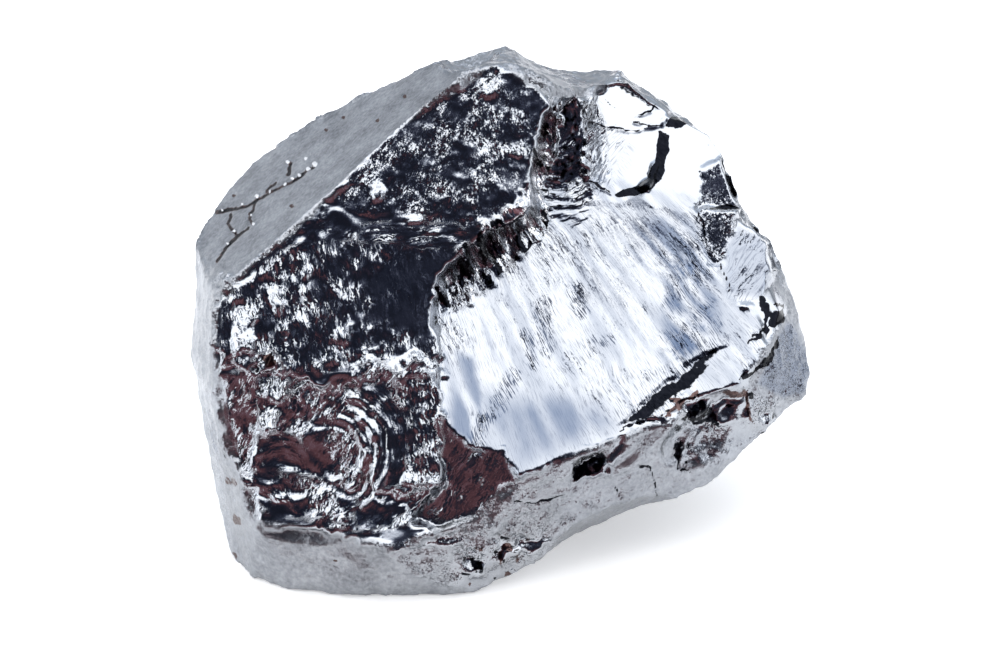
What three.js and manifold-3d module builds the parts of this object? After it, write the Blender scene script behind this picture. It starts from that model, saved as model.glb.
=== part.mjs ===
// A lump of raw silicon, broken off a cast ingot. Millimetres, +Z up, standing on its flat underside.
//
// It is one solid piece. A convex block, the lump before it was flaked, is set out by its corners. Every
// hollow in it is the scar of a flake that broke away, and each scar is cut by an ellipsoid.
//
// Corners and scars are given in the frame of the broken front face: u runs to the right across the face,
// v up it and w straight out of it. The face leans back from upright by FACE_LEAN.

import * as THREE from "three";
import { ConvexGeometry } from "three/addons/geometries/ConvexGeometry.js";
import { mergeVertices } from "three/addons/utils/BufferGeometryUtils.js";
import Module from "manifold-3d";

// ---- driving dimensions ----

const FACE_LEAN = THREE.MathUtils.degToRad(28);
const FACE_HEIGHT = 30.1; // the middle of the front face above the surface it stands on
const FACE_FORWARD = 8; // and how far it is in front of the lump's middle

const FACET = 2.4; // edge length of the facets that a scar is made of
const ICOSAHEDRON_EDGE = 1.107; // the arc that one edge of it spans on a ball of radius 1
const MERGE = 1e-4; // vertices nearer each other than this are one
const SLAB_SIDE = 200; // the slab that cuts the underside flat reaches past the lump
const SLAB_DEPTH = 50;
const OUT = new THREE.Vector3(0, 0, 1); // along w

// ---- the cast face, the only flat that was never broken: up and to the left of the front face ----

const CAST_POINT = [-25, 19.3, 12.5]; // on its edge with the front face
const CAST_FACING = [129.5, 65]; // the way it faces: angle in u and v, tilt away from w

// ---- corners of the block: u, v, w ----

// On the cast face, only u and v: the face gives w.
const CAST_CORNERS = [
  [-44.6, 12.8],
  [-43.9, 16],
  [-41.1, 21.6],
  [-37.4, 26],
  [-29.2, 31],
  [-20.4, 35],
  [-10, 39],
  [-5, 38.4],
  [-5, 36.8],
  [-36.4, 8.8],
];

// Along the edge of the front face, from the top round to the right, the bottom and the left.
const FRONT_CORNERS = [
  [1, 38.5, 7],
  [10, 36.2, 4],
  [19, 36, -6],
  [30.5, 27, -8],
  [35.5, 16, -5],
  [41, 3, -2],
  [38, -5, 3],
  [29.5, -9.3, 8],
  [17, -14.6, 12.6],
  [3, -20.8, 15],
  [-8, -27.6, 14.4],
  [-16, -30.6, 12.8],
  [-34.6, -27, 11.8],
  [-36.6, -22, 12],
  [-40.6, -9, 12.4],
  [-40.6, 5, 12],
];

// On the front face itself, which bulges at the left.
const BULGE_CORNERS = [
  [-27, -3, 15.6],
  [-9, -8, 16.8],
  [-9, 12, 15.6],
  [3, 23, 11],
];

// Round the widest part of the lump, where it turns away to the back.
const RIM_CORNERS = [
  [0.7, 42.6, -13],
  [18.3, 39.6, -17],
  [25.1, 34.8, -16],
  [31.6, 29.2, -14],
  [35.3, 20.1, -11],
  [39.2, 16.5, -11],
  [41.8, 9.1, -11],
  [45.6, -2, -8],
  [46, -5.2, -8],
  [45.2, -8.8, -8],
  [37.8, -15.2, -3],
  [30.2, -22.2, 0],
  [20, -25.9, 2],
  [5, -33.3, 4],
  [-4, -37.3, 6.5],
  [-12, -37.7, 7.2],
  [-24, -37.6, 7],
  [-30, -37, 6],
  [-35.8, -35.3, 3],
  [-38.9, -33.9, -2],
  [-41.8, -22, -3],
  [-45, -4, -2],
  [-44.9, 4, -2],
];

const BACK_CORNERS = [
  [-38, 12, -22],
  [-39, -8, -24],
  [-26, 26, -24],
  [-6, 34, -25],
  [12, 35, -27],
  [27, 21, -28],
  [37, 4, -25],
  [35, -12, -20],
  [18, -16, -31],
  [-8, -8, -33],
  [-12, 14, -33],
  [14, 12, -33],
  [-30, -20, -24],
  [-10, -24, -28],
];

// ---- scars ----
//
// at: the deepest point, u, v, w. facing: the way the hollow opens, angle in u and v and tilt away from w.
// size: half width, half height and depth of the ellipsoid. spin: its turn about the way it opens, if any.

const GREAT_SCOOP = { at: [14, -1, 5.2], facing: [66, 25], size: [58, 62, 30] };

// The flake that left the great scoop broke off along a wall. Its outline, u and v, narrows inwards.
const WALL_LEVELS = [-6, 22]; // w of the inner and the outer outline
const WALL_INNER = [
  [-5, -30],
  [-4, -8],
  [-1, 1],
  [5, 8],
  [11, 13],
  [18, 15.5],
  [29, 13.5],
  [40, 0],
  [44, -30],
];
const WALL_OUTER = [
  [-11, -30],
  [-10.5, -6],
  [-9.5, 5],
  [-5, 14],
  [3, 20.5],
  [12, 24],
  [26, 24],
  [38, 16],
  [52, -30],
];

const SCARS = [
  // the broken front face
  { at: [-10, 25, 11], facing: [100, 8], size: [32, 22, 18], spin: 40 }, // upper crush
  { at: [6, 29, 6.6], facing: [60, 14], size: [20, 18, 14] }, // dark bowl
  { at: [19.6, 33.4, -7.2], facing: [70, 32], size: [11, 11, 7] }, // top right flake
  { at: [18.5, 24.5, -2], facing: [55, 34], size: [16, 15, 10] }, // curl
  { at: [28, 23, -7], facing: [45, 36], size: [18, 24, 14] }, // right flake
  { at: [-13, 6, 14], facing: [90, 4], size: [26, 17, 14], spin: 8 }, // black hollow
  { at: [-23, -17, 12.2], facing: [-90, 9], size: [32, 25, 20], spin: -15 }, // ripple bowl
  { at: [-32, -24.5, 10.8], facing: [-100, 14], size: [14, 8, 6], spin: -20 }, // corner hollow
  { at: [-4, -21.5, 13.6], facing: [-80, 10], size: [15, 15, 12] }, // brown flake
  // its edge
  { at: [12, 36.4, -6], facing: [82, 77], size: [15, 60, 12] }, // top notch
  { at: [-3.9, 38.6, -2], facing: [100, 75], size: [4.5, 12, 2.5] }, // top nick
  { at: [34.6, 21.6, -12], facing: [25, 75], size: [10, 12, 4] }, // right notch
  { at: [15.5, -26.6, 1], facing: [-66, 70], size: [17, 24, 9] }, // lower notch
  { at: [-38.8, -30, 2], facing: [190, 75], size: [5, 6, 3] }, // lower left nick
  { at: [-43.9, 7.6, -2], facing: [180, 75], size: [8, 7, 4] }, // left nick
  { at: [12.8, -19, 10.8], facing: [-60, 45], size: [8, 6, 4], spin: 30 }, // shard
  { at: [32, -11.5, 3], facing: [-60, 35], size: [12, 8, 6], spin: 30 }, // rim chip
  // the back
  { at: [-22, 12, -25], facing: [150, 152], size: [44, 36, 26] }, // back left
  { at: [8, 26, -27.5], facing: [80, 150], size: [38, 30, 22], spin: 20 }, // back top
  { at: [28, -1, -24.5], facing: [-10, 145], size: [32, 36, 22] }, // back right
  { at: [-24, -12, -25.5], facing: [-150, 140], size: [32, 28, 20] }, // back foot
];

// ---- the frames ----

function fromFace(u, v, w) {
  const c = Math.cos(FACE_LEAN);
  const s = Math.sin(FACE_LEAN);
  return new THREE.Vector3(u, v * s - w * c - FACE_FORWARD, FACE_HEIGHT + v * c + w * s);
}

function castFaceDepth(u, v) {
  const [angle, tilt] = CAST_FACING.map(THREE.MathUtils.degToRad);
  const across = Math.cos(angle) * (u - CAST_POINT[0]) + Math.sin(angle) * (v - CAST_POINT[1]);
  return CAST_POINT[2] - Math.tan(tilt) * across;
}

// ---- solids ----

const wasm = await Module();
wasm.setup();

function solidOf(geometry) {
  geometry.deleteAttribute("normal");
  geometry.deleteAttribute("uv");
  const merged = mergeVertices(geometry, MERGE);
  return new wasm.Manifold(
    new wasm.Mesh({
      numProp: 3,
      vertProperties: merged.attributes.position.array,
      triVerts: new Uint32Array(merged.index.array),
    }),
  );
}

function geometryOf(solid) {
  const mesh = solid.getMesh();
  const geometry = new THREE.BufferGeometry();
  geometry.setAttribute("position", new THREE.BufferAttribute(mesh.vertProperties, 3));
  geometry.setIndex(new THREE.BufferAttribute(mesh.triVerts, 1));
  return geometry;
}

function block() {
  const corners = [
    ...CAST_CORNERS.map(([u, v]) => [u, v, castFaceDepth(u, v)]),
    ...FRONT_CORNERS,
    ...BULGE_CORNERS,
    ...RIM_CORNERS,
    ...BACK_CORNERS,
  ];
  return solidOf(new ConvexGeometry(corners.map((p) => fromFace(...p))));
}

// An ellipsoid that touches the scar's deepest point from outside.
function flake({ at, facing, size, spin = 0 }) {
  const [angle, tilt] = facing.map(THREE.MathUtils.degToRad);
  const opening = new THREE.Vector3(
    Math.sin(tilt) * Math.cos(angle),
    Math.sin(tilt) * Math.sin(angle),
    Math.cos(tilt),
  );
  const detail = Math.round((ICOSAHEDRON_EDGE * Math.max(...size)) / FACET) - 1;
  const ball = new THREE.IcosahedronGeometry(1, detail);
  ball.scale(...size);
  ball.translate(0, 0, size[2]);
  ball.rotateZ(THREE.MathUtils.degToRad(spin));
  ball.applyQuaternion(new THREE.Quaternion().setFromUnitVectors(OUT, opening));
  ball.translate(...at);
  ball.rotateX(Math.PI / 2 - FACE_LEAN);
  ball.translate(0, -FACE_FORWARD, FACE_HEIGHT);
  return solidOf(ball);
}

// What the wall of the great scoop encloses.
function insideWall() {
  const [inner, outer] = WALL_LEVELS;
  const corners = [
    ...WALL_INNER.map(([u, v]) => fromFace(u, v, inner)),
    ...WALL_OUTER.map(([u, v]) => fromFace(u, v, outer)),
  ];
  return solidOf(new ConvexGeometry(corners));
}

// Everything below the surface that the lump stands on.
function underside() {
  const slab = new THREE.BoxGeometry(SLAB_SIDE, SLAB_SIDE, SLAB_DEPTH);
  slab.translate(0, 0, -SLAB_DEPTH / 2);
  return solidOf(slab);
}

// ---- the lump ----

let lump = block().subtract(underside());
lump = lump.subtract(flake(GREAT_SCOOP).intersect(insideWall()));
for (const scar of SCARS) {
  lump = lump.subtract(flake(scar));
}

const silicon = new THREE.MeshStandardMaterial({ color: 0x9aa0ab, roughness: 0.25, metalness: 1 });
const mesh = new THREE.Mesh(geometryOf(lump), silicon);
mesh.name = "silicon_chunk";

const chunk = new THREE.Group();
chunk.add(mesh);

export default chunk;
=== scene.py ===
import math

import bmesh
import bpy
import numpy as np
from mathutils import Matrix, Vector
from mathutils.bvhtree import BVHTree


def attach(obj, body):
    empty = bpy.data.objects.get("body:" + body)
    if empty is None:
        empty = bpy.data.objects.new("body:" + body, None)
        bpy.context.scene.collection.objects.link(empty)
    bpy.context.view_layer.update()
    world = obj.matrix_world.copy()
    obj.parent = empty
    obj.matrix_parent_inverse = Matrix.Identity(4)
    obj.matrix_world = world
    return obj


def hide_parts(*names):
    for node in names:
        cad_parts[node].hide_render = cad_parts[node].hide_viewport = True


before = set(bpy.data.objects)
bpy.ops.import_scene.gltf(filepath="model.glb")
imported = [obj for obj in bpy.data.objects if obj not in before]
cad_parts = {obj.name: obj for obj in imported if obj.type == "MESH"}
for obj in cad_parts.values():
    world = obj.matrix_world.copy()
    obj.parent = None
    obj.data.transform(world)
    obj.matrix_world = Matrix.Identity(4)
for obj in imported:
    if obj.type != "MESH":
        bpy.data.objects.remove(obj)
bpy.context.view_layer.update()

scene = bpy.context.scene

# ---- The camera ----
# A long lens square to the lump's broken front, which leans back from upright. Work on that face is laid out
# in its own frame: u to the right, v up the face, w straight out of it, in millimetres from its middle.

face_lean = math.radians(28)
face_middle = Vector((0, -8, 30.1))
face_turn = Matrix(
    (
        (1, 0, 0),
        (0, math.sin(face_lean), -math.cos(face_lean)),
        (0, math.cos(face_lean), math.sin(face_lean)),
    )
)
camera_reach = 406.1
camera = bpy.data.cameras.new("camera")
camera.lens = 100
camera.sensor_width = 36
camera.clip_start = 0.01
camera.clip_end = 30
camera_stand = bpy.data.objects.new("camera", camera)
scene.collection.objects.link(camera_stand)
camera_stand.matrix_world = (
    Matrix.Translation(0.001 * (face_middle + camera_reach * face_turn.col[2]))
    @ face_turn.to_4x4()
)
scene.camera = camera_stand

# ---- The table ----
# A plain white table top that glows a little, so that only the shadow under the lump shows on it. Its front
# edge is close, because the lump's lower faces mirror both the table and the dark room past it.

table_depth = (-0.05, 1.2)
table_width = 1.4
table_bm = bmesh.new()
bmesh.ops.create_grid(table_bm, x_segments=1, y_segments=1, size=0.5)
bmesh.ops.scale(table_bm, vec=(2 * table_width, table_depth[1] - table_depth[0], 1), verts=table_bm.verts)
bmesh.ops.translate(table_bm, vec=(0, sum(table_depth) / 2, 0), verts=table_bm.verts)
table_mesh = bpy.data.meshes.new("table")
table_bm.to_mesh(table_mesh)
table_bm.free()
table = bpy.data.objects.new("table", table_mesh)
scene.collection.objects.link(table)
table_paint = bpy.data.materials.new("white table")
table_paint.use_nodes = True
table_shader = table_paint.node_tree.nodes["Principled BSDF"]
table_shader.inputs["Base Color"].default_value = (0.9, 0.9, 0.9, 1)
table_shader.inputs["Roughness"].default_value = 0.9
table_shader.inputs["Specular IOR Level"].default_value = 0.0
table_shader.inputs["Emission Color"].default_value = (1, 1, 1, 1)
table_shader.inputs["Emission Strength"].default_value = 0.4
table_mesh.materials.append(table_paint)

# ---- The light ----
# A broad soft box overhead and one at each side, with the dark room left between them in front. Behind,
# the light falls off to a blue-grey. The lump mirrors all of it, so this is what its facets are made of.

scene.view_settings.view_transform = "Standard"
studio = bpy.data.worlds.new("studio")
scene.world = studio
studio.use_nodes = True
nodes = studio.node_tree.nodes
links = studio.node_tree.links
nodes.clear()
room = nodes.new("ShaderNodeTexCoord")
axes = nodes.new("ShaderNodeSeparateXYZ")
links.new(room.outputs["Generated"], axes.inputs[0])
forward = nodes.new("ShaderNodeMath")
forward.operation = "MULTIPLY"
forward.inputs[1].default_value = -1
links.new(axes.outputs["Y"], forward.inputs[0])
rise = nodes.new("ShaderNodeMath")
rise.operation = "ARCTAN2"
links.new(axes.outputs["Z"], rise.inputs[0])
links.new(forward.outputs[0], rise.inputs[1])
sweep_from = -40
sweep_to = 200
sweep = nodes.new("ShaderNodeMapRange")
sweep.inputs["From Min"].default_value = math.radians(sweep_from)
sweep.inputs["From Max"].default_value = math.radians(sweep_to)
links.new(rise.outputs[0], sweep.inputs["Value"])


def light_ramp(stops):
    """A colour ramp from stops of (degrees up from the front horizon and over, colour)."""
    ramp = nodes.new("ShaderNodeValToRGB")
    elements = ramp.color_ramp.elements
    elements.remove(elements[1])
    for number, (degrees, colour) in enumerate(stops):
        position = (degrees - sweep_from) / (sweep_to - sweep_from)
        at = elements[0] if number == 0 else elements.new(position)
        at.position = position
        at.color = (*colour, 1)
    links.new(sweep.outputs["Result"], ramp.inputs["Fac"])
    return ramp.outputs["Color"]


soft_box = (1.0, 1.0, 1.0)
over = light_ramp(
    [
        (-40, (0.12, 0.07, 0.085)),
        (-12, (0.085, 0.039, 0.044)),
        (0, (0.064, 0.028, 0.032)),
        (6, (0.030, 0.015, 0.019)),
        (12, (0.018, 0.016, 0.025)),
        (28, (0.004, 0.005, 0.009)),
        (42, (0.010, 0.012, 0.022)),
        (52, (0.030, 0.034, 0.055)),
        (59.5, (0.30, 0.32, 0.37)),
        (67, soft_box),
        (108, soft_box),
        (120, (0.50, 0.55, 0.63)),
        (140, (0.34, 0.38, 0.44)),
        (155, (0.25, 0.27, 0.29)),
        (199, (0.25, 0.27, 0.29)),
    ]
)
left_side = light_ramp(
    [
        (-40, (0.45, 0.45, 0.47)),
        (0, (0.70, 0.71, 0.74)),
        (20, (0.95, 0.97, 1.0)),
        (110, (0.95, 0.97, 1.0)),
        (150, (0.28, 0.30, 0.33)),
        (199, (0.35, 0.37, 0.4)),
    ]
)
right_side = light_ramp(
    [
        (-40, (0.22, 0.22, 0.24)),
        (0, (0.035, 0.03, 0.04)),
        (25, (0.02, 0.022, 0.035)),
        (45, (0.16, 0.18, 0.22)),
        (62, (0.95, 0.97, 1.0)),
        (110, (0.95, 0.97, 1.0)),
        (150, (0.14, 0.15, 0.17)),
        (199, (0.14, 0.15, 0.17)),
    ]
)


def mixed(low, high, coordinate, below, above):
    """One light up to a low coordinate, the other from a high one on, and a blend between them."""
    edge = nodes.new("ShaderNodeMapRange")
    edge.interpolation_type = "SMOOTHSTEP"
    edge.inputs["From Min"].default_value = low
    edge.inputs["From Max"].default_value = high
    links.new(coordinate, edge.inputs["Value"])
    mix = nodes.new("ShaderNodeMix")
    mix.data_type = "RGBA"
    links.new(edge.outputs["Result"], mix.inputs[0])
    links.new(below, mix.inputs[6])
    links.new(above, mix.inputs[7])
    return mix.outputs[2]


to_the_right = mixed(0.68, 0.86, axes.outputs["X"], over, right_side)
walls = mixed(-0.86, -0.70, axes.outputs["X"], left_side, to_the_right)
mirrored = nodes.new("ShaderNodeBackground")
mirrored.inputs["Strength"].default_value = 2.5
links.new(walls, mirrored.inputs["Color"])
plain = nodes.new("ShaderNodeBackground")
plain.inputs["Color"].default_value = (1, 1, 1, 1)
plain.inputs["Strength"].default_value = 1.05
path = nodes.new("ShaderNodeLightPath")
seen_plain = nodes.new("ShaderNodeMixShader")
links.new(path.outputs["Is Camera Ray"], seen_plain.inputs[0])
links.new(mirrored.outputs[0], seen_plain.inputs[1])
links.new(plain.outputs[0], seen_plain.inputs[2])
world_out = nodes.new("ShaderNodeOutputWorld")
links.new(seen_plain.outputs[0], world_out.inputs["Surface"])

# ---- The lump: its body ----
# One piece of cast silicon, broken from an ingot with a hammer. The frame's solid is its shape; it is
# remeshed to an even skin of small quads, twice as fine towards the eye, and laid back on the solid.

quad_size = 0.8
smoothing_rounds = 6
face_to_room = Matrix.Scale(0.001, 4) @ Matrix.Translation(face_middle) @ face_turn.to_4x4()


def ease(value, low, high):
    """0 below low, 1 above high, and a smooth rise between them."""
    t = np.clip((value - low) / (high - low), 0, 1)
    return t * t * (3 - 2 * t)


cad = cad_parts["silicon_chunk"]
solid = bmesh.new()
solid.from_mesh(cad.data)
bmesh.ops.remove_doubles(solid, verts=solid.verts, dist=1e-7)
solid.transform(face_to_room.inverted())
solid.normal_update()
solid_surface = BVHTree.FromBMesh(solid)
lump_mesh = bpy.data.meshes.new("silicon")
solid.to_mesh(lump_mesh)
solid.free()
lump = bpy.data.objects.new("silicon", lump_mesh)
scene.collection.objects.link(lump)
remesh = lump.modifiers.new("even", "REMESH")
remesh.mode = "VOXEL"
remesh.voxel_size = quad_size
even = bpy.data.meshes.new_from_object(lump.evaluated_get(bpy.context.evaluated_depsgraph_get()))
lump.modifiers.clear()
surface = bmesh.new()
surface.from_mesh(even)
surface.normal_update()
near_edges = {e for f in surface.faces if f.normal.z > 0.1 for e in f.edges}
bmesh.ops.subdivide_edges(surface, edges=list(near_edges), cuts=1, use_grid_fill=True)
bmesh.ops.triangulate(surface, faces=[f for f in surface.faces if len(f.verts) > 4])
surface.verts.ensure_lookup_table()
laid = [solid_surface.find_nearest(v.co) for v in surface.verts]
for vert, (at, _, _, _) in zip(surface.verts, laid):
    vert.co = at
facing = np.array([n for _, n, _, _ in laid])
ends = np.array([(e.verts[0].index, e.verts[1].index) for e in surface.edges])
sharp_turn = np.sum(facing[ends[:, 0]] * facing[ends[:, 1]], axis=1) < math.cos(math.radians(15))
crisp = np.zeros(len(laid), bool)
crisp[ends[sharp_turn].ravel()] = True
rounded = [v for v in surface.verts if not crisp[v.index]]
for _ in range(smoothing_rounds):
    bmesh.ops.smooth_vert(
        surface, verts=rounded, factor=0.5, use_axis_x=True, use_axis_y=True, use_axis_z=True
    )
surface.normal_update()
points = np.array([v.co for v in surface.verts])
normals = np.array([v.normal for v in surface.verts])

# The face as the eye meets it from camera_reach away, so that what lies deeper looks nearer the middle.
nearing = camera_reach / (camera_reach - points[:, 2])
x = points[:, 0] * nearing
y = points[:, 1] * nearing
w = points[:, 2].copy()
to_eye = np.array([0, 0, camera_reach]) - points
to_eye /= np.linalg.norm(to_eye, axis=1)[:, None]
seen = ease(np.sum(normals * to_eye, axis=1), 0.04, 0.24)
around = [points[:, 0], points[:, 1], points[:, 2]]

# ---- The cast skin ----
# The one face that was never broken, matte and grey where the melt froze against the mould. It is nearly
# flat, with small pores, and a crack runs in from its far edge with crumbs of silica along it.

cast_point = np.array((-25, 19.3, 12.5))
cast_turn = math.radians(129.5)
cast_tilt = math.radians(65)
cast_way = np.array(
    (
        math.sin(cast_tilt) * math.cos(cast_turn),
        math.sin(cast_tilt) * math.sin(cast_turn),
        math.cos(cast_tilt),
    )
)
fracture_outline = [
    (-36.5, 9), (-30, 14.7), (-25, 19.5), (-20, 26), (-14, 30.7), (-8, 34.5), (-3, 37.6), (-2.4, 38.4),
    (0, 38.6), (2.2, 37.6), (4, 36.2), (6.4, 34.6), (8.4, 34), (10.5, 34.2), (13, 34.2), (15, 35), (17, 38),
    (30, 36), (42, 16), (40, 7), (42, 3), (38, -3), (36, -8), (30, -9.3), (25, -12.5), (17.5, -15),
    (10, -18.5), (3, -21), (0, -22.8), (-3, -26), (-8, -28.1), (-13, -29.8), (-16.5, -30.9), (-20, -30.1),
    (-30, -28.1), (-35.4, -27.2), (-37.5, -22), (-39.5, -14), (-41, -6), (-40.8, 5),
]

# What the surface is like at each point, and where shade, reflections and highlights are painted in its
# colour.
marks = {
    name: np.zeros(len(points))
    for name in ("matte", "hackle", "crush", "painted_line_shade", "brown_and_painted_reflection", "blue_and_painted_shade", "painted_shade_and_reflection", "painted_highlight", "across", "along")
}
dice = np.random.RandomState(7).random_sample((64, 64, 64)) * 2 - 1


def roll(cell, seed):
    """A fixed random number from -1 to 1 for each cell of a lattice."""
    k = cell[2] if len(cell) > 2 else 0 * cell[0]
    return dice[(cell[0] + 11 * seed) & 63, (cell[1] + 5 * seed) & 63, (k + 23 * seed) & 63]


def swell(coords, size, seed):
    """Smooth random ups and downs of about the given size in millimetres, from -1 to 1."""
    coords = [c / size + 0.37 * seed for c in coords]
    cell = [np.floor(c).astype(int) for c in coords]
    part = [c - i for c, i in zip(coords, cell)]
    part = [f * f * (3 - 2 * f) for f in part]
    total = 0
    for corner in np.ndindex(*(2,) * len(coords)):
        share = 1
        for f, c in zip(part, corner):
            share = share * (f if c else 1 - f)
        total = total + share * roll([i + c for i, c in zip(cell, corner)], seed)
    return total


def chips(size, seed):
    """The way from each point to the middle of the chip it lies in, the face being a mosaic of chips."""
    at = (x / size, y / size)
    cell = [np.floor(c).astype(int) for c in at]
    nearest = np.full(len(x), 9.0)
    way_x = np.zeros(len(x))
    way_y = np.zeros(len(x))
    for step in np.ndindex(3, 3):
        near = [i + s - 1 for i, s in zip(cell, step)]
        off_x = near[0] + 0.5 + 0.45 * roll(near, seed) - at[0]
        off_y = near[1] + 0.5 + 0.45 * roll(near, seed + 1) - at[1]
        far = np.hypot(off_x, off_y)
        way_x = np.where(far < nearest, off_x * size, way_x)
        way_y = np.where(far < nearest, off_y * size, way_y)
        nearest = np.minimum(nearest, far)
    return way_x, way_y


# No edge on the lump is straight, so every outline below is laid out on a slightly wandering grid, and
# the edges of the large breaks also follow the chips.
wander_x = x + 0.35 * swell([x, y], 3.5, 12) + 0.2 * swell([x, y], 1.1, 13)
wander_y = y + 0.35 * swell([x, y], 3.5, 14) + 0.2 * swell([x, y], 1.1, 15)
chip_x, chip_y = (0.7 * wide + 0.5 * small for wide, small in zip(chips(3.2, 51), chips(1.3, 53)))


def within(outline, px, py):
    """True for each point inside a closed outline."""
    inside = np.zeros(len(px), bool)
    for (ax, ay), (bx, by) in zip(outline, outline[1:] + outline[:1]):
        if ay != by:
            inside ^= ((ay > py) != (by > py)) & (px < (bx - ax) * (py - ay) / (by - ay) + ax)
    return inside


def trace(line, ragged=0.0):
    """How far each point is from a line, on which side, and how far along it, from 0 to 1."""
    px = wander_x + ragged * chip_x
    py = wander_y + ragged * chip_y
    line = np.array(line, float)
    lengths = np.hypot(*(line[1:] - line[:-1]).T)
    starts = np.concatenate([[0], np.cumsum(lengths)])
    gap = np.full(len(x), 1e9)
    side = np.zeros(len(x))
    way = np.zeros(len(x))
    for a, b, length, start in zip(line[:-1], line[1:], lengths, starts):
        d = (b - a) / length
        t = np.clip((px - a[0]) * d[0] + (py - a[1]) * d[1], 0, length)
        dx = px - a[0] - t * d[0]
        dy = py - a[1] - t * d[1]
        here = np.hypot(dx, dy)
        nearer = here < gap
        gap = np.where(nearer, here, gap)
        side = np.where(nearer, np.sign(d[0] * dy - d[1] * dx), side)
        way = np.where(nearer, (start + t) / starts[-1], way)
    return gap, side, way


def patch(outline, soft=0.3, ragged=0.0, grow=0.0):
    """1 inside a closed outline, 0 outside, with a soft edge, on the side that faces the eye."""
    gap, _, _ = trace(outline + outline[:1], ragged)
    inside = within(outline, wander_x + ragged * chip_x, wander_y + ragged * chip_y)
    return ease(np.where(inside, gap, -gap) + grow, -soft, soft) * seen


def lay_mark(name, amount, where):
    """Lays at least an amount of a mark where where is 1."""
    marks[name] = np.maximum(marks[name], amount * where)


cast = ease((points - cast_point) @ cast_way, -0.5, -0.15) * ease(normals @ cast_way, 0.9, 0.97)
broken = patch(fracture_outline, 0.35) * (1 - cast)
rim = seen * (1 - broken) * (1 - cast)
hidden = 1 - seen
seen = seen * (1 - cast)
lift = cast * 0.05 * swell(around, 2.5, 71)
marks["matte"] = cast.copy()
cracks = [
    [(-41.5, 17.5), (-37, 18.5), (-35.5, 19.5), (-32.5, 20.7), (-29, 22.8), (-27, 24.3)],
    [(-35.8, 19), (-36.8, 17), (-36.5, 15.7)],
    [(-41.3, 10.5), (-40.2, 12.5), (-38.5, 14.3), (-37, 15.1)],
    [(-38.5, 14.5), (-39.4, 16), (-39.2, 17.4)],
    [(-33, 21.8), (-34, 20.5)],
    [(-31.2, 23), (-30.8, 24.8)],
]
for crack in cracks:
    gap, _, _ = trace(crack)
    line = cast * (1 - ease(gap, 0.0, 0.55))
    lift -= 0.12 * line
    # The crack is painted dark along its line, as shade in it.
    lay_mark("painted_shade_and_reflection", 0.62, line)
    lay_mark("brown_and_painted_reflection", 0.8, line)
crumbs = [
    (-27, 24.5, 0.55), (-31, 24.8, 0.4), (-28.3, 25.3, 0.35), (-36, 15.7, 0.4), (-38.8, 14.8, 0.3),
    (-29.3, 22.9, 0.35), (-31.4, 21.6, 0.3), (-33.6, 20.5, 0.3), (-35.5, 19.8, 0.35), (-37.6, 18.6, 0.25),
    (-28, 23.8, 0.4), (-39.8, 12.9, 0.25), (-36.4, 17, 0.25), (-30.3, 22.4, 0.3), (-40.6, 17.8, 0.25),
]
for cx, cy, radius in crumbs:
    bump = cast * (1 - ease(np.hypot(x - cx, y - cy), 0.4 * radius, radius))
    lift += 0.3 * bump
    # The crumbs' pale colour is a painted highlight.
    lay_mark("painted_highlight", 1.0, bump)
for cx, cy in [(-25.5, 29.6), (-23, 31.5), (-14, 34.5), (-33, 27), (-18, 31), (-39, 20), (-30.5, 18.5)]:
    pore = cast * (1 - ease(np.hypot(x - cx, y - cy), 0.1, 0.55))
    lift -= 0.2 * pore
    lay_mark("brown_and_painted_reflection", 0.8, pore)

# ---- The rims and the back ----
# Older breaks all round the lump, dulled by handling: grey, fine-grained and gently hollowed. Small chips
# along the lower rim are younger and sharp, and are painted dark in places as a dark reflection.


def flaked(coords, size, steep, seed, lean=0.6):
    """Shallow scars side by side, ridges between them: size in millimetres, steep the slope at a ridge."""
    coords = [c / size + 0.29 * seed for c in coords]
    cell = [np.floor(c).astype(int) for c in coords]
    lowest = np.full(len(coords[0]), 9.0)
    for step in np.ndindex(*(3,) * len(coords)):
        near = [i + s - 1 for i, s in zip(cell, step)]
        off = [c - (n + 0.5 + 0.42 * roll(near, seed + a)) for a, (c, n) in enumerate(zip(coords, near))]
        bowl = sum(o * o for o in off) + 0.15 * roll(near, seed + 7)
        bowl = bowl + lean * sum(o * roll(near, seed + 11 + a) for a, o in enumerate(off))
        lowest = np.minimum(lowest, bowl)
    return steep * size * lowest


hinge_reach = 0.7


def facet(outline, up, right, soft=0.3, keep=1.0, hinge=None, ragged=0.0, grow=0.0):
    """Breaks the surface off flat inside an outline, to a plane that faces up and right by so many degrees.
    The plane passes through the surface at the hinge, or through the middle of the patch if there is none."""
    inside = patch(outline, soft, ragged, grow)
    core = inside > 0.5
    if hinge:
        near = (np.hypot(x - hinge[0], y - hinge[1]) < hinge_reach) & (seen > 0.5)
        core = near if near.any() else core
    flat = w[core].mean()
    flat = flat - math.tan(math.radians(up)) * (y - y[core].mean())
    flat = flat - math.tan(math.radians(right)) * (x - x[core].mean())
    w[:] += inside * keep * (flat - w)
    return inside


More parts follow.
